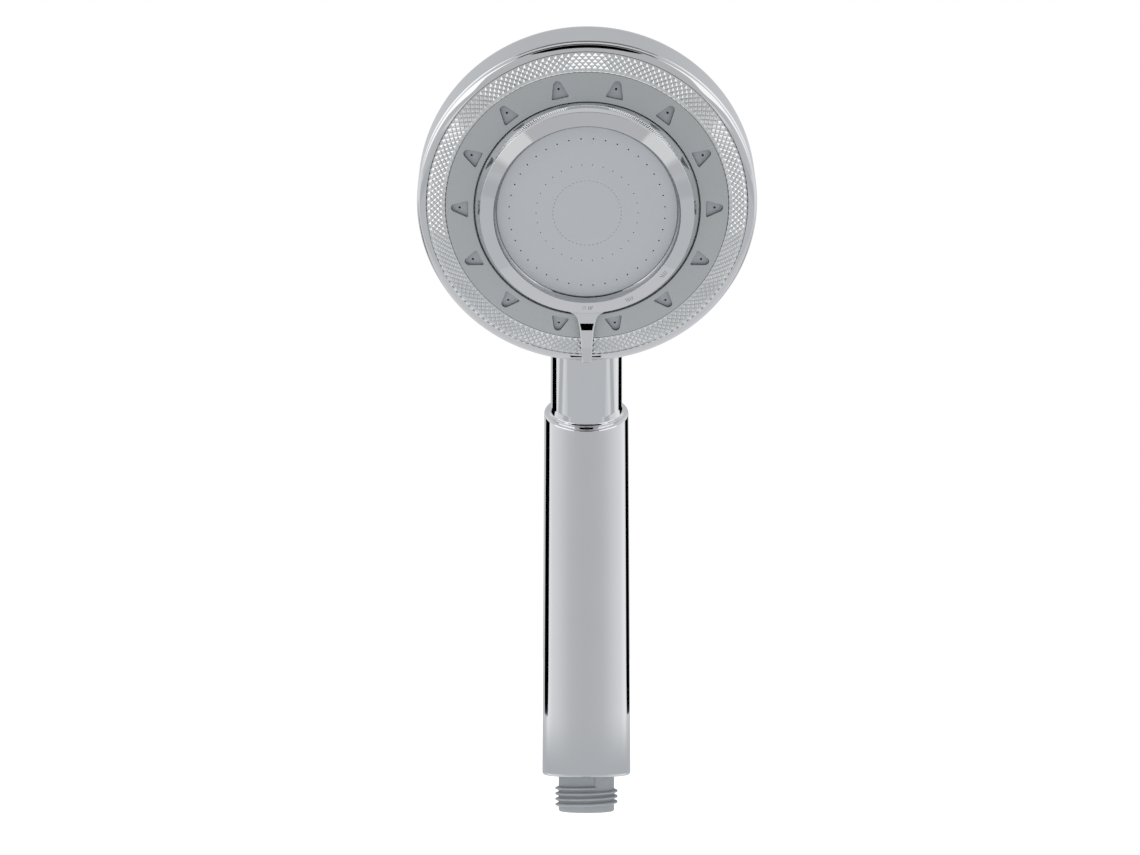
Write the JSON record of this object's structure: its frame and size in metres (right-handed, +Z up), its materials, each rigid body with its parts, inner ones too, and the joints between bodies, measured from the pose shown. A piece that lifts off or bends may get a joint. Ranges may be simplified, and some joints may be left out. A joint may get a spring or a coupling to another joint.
{
  "type": "handheld shower head",
  "caption": "Handheld shower head: tapered grip with a G 1/2 hose thread, angled neck, and a round head whose lever-turned drum selects the spray.",
  "frame": {"origin": "centre of the end face of the hose connection", "axes": "+Z up along the grip's axis, -Y towards the side that sprays, +X to the right of a viewer who faces the spray plate"},
  "size_m": [0.11, 0.0871, 0.2568],
  "materials": {
    "chrome_plated_plastic": "bright chrome plate",
    "grey_abs": "satin moulded",
    "grey_pom": "satin moulded",
    "grey_silicone": "soft matte",
    "natural_pom": "moulded",
    "green_pom": "moulded",
    "black_rubber": "moulded",
    "stainless_steel": "turned"
  },
  "bodies": {
    "handle": {"grip_sleeve": "chrome_plated_plastic", "hose_spigot": "grey_pom", "flow_regulator": "green_pom", "regulator_o_ring": "black_rubber", "grip_pipe": "natural_pom", "grip_pipe_o_rings": "black_rubber", "elbow_coupling": "natural_pom", "neck_pipe": "natural_pom", "neck_pipe_o_rings": "black_rubber", "head_shell": "chrome_plated_plastic", "inlet_chamber": "natural_pom", "chamber_gasket": "black_rubber", "chamber_screws": "stainless_steel", "distributor_body": "natural_pom", "port_seal": "black_rubber", "port_spring": "stainless_steel", "front_carrier": "natural_pom", "carrier_gasket": "black_rubber", "nozzle_sheet": "grey_silicone", "face_ring": "grey_abs", "knurled_ring": "chrome_plated_plastic", "housing_screws": "stainless_steel", "detent_spring": "stainless_steel"},
    "selector": {"valve_rotor": "natural_pom", "shaft_o_ring": "black_rubber", "rotor_o_ring": "black_rubber", "rotor_washer": "stainless_steel", "rotor_screw": "stainless_steel", "spray_divider": "natural_pom", "spray_plate": "grey_abs", "selector_bezel": "chrome_plated_plastic"},
    "detent": {"detent_ball": "stainless_steel"}
  },
  "joints": [
    {"name": "selector_turn", "type": "hinge", "parent": "handle", "child": "selector", "pos_m": [0, -0.05194, 0.19825], "axis": [0, 0.9063, 0.4226], "range_deg": [0, 50]},
    {"name": "detent_slide", "type": "slide", "parent": "handle", "child": "detent", "axis": [0, -0.9063, -0.4226], "range_m": [0, 0.0005], "stiffness_N_per_m": 400, "springref_m": 0.0012, "deforming": ["detent_spring"]}
  ]
}
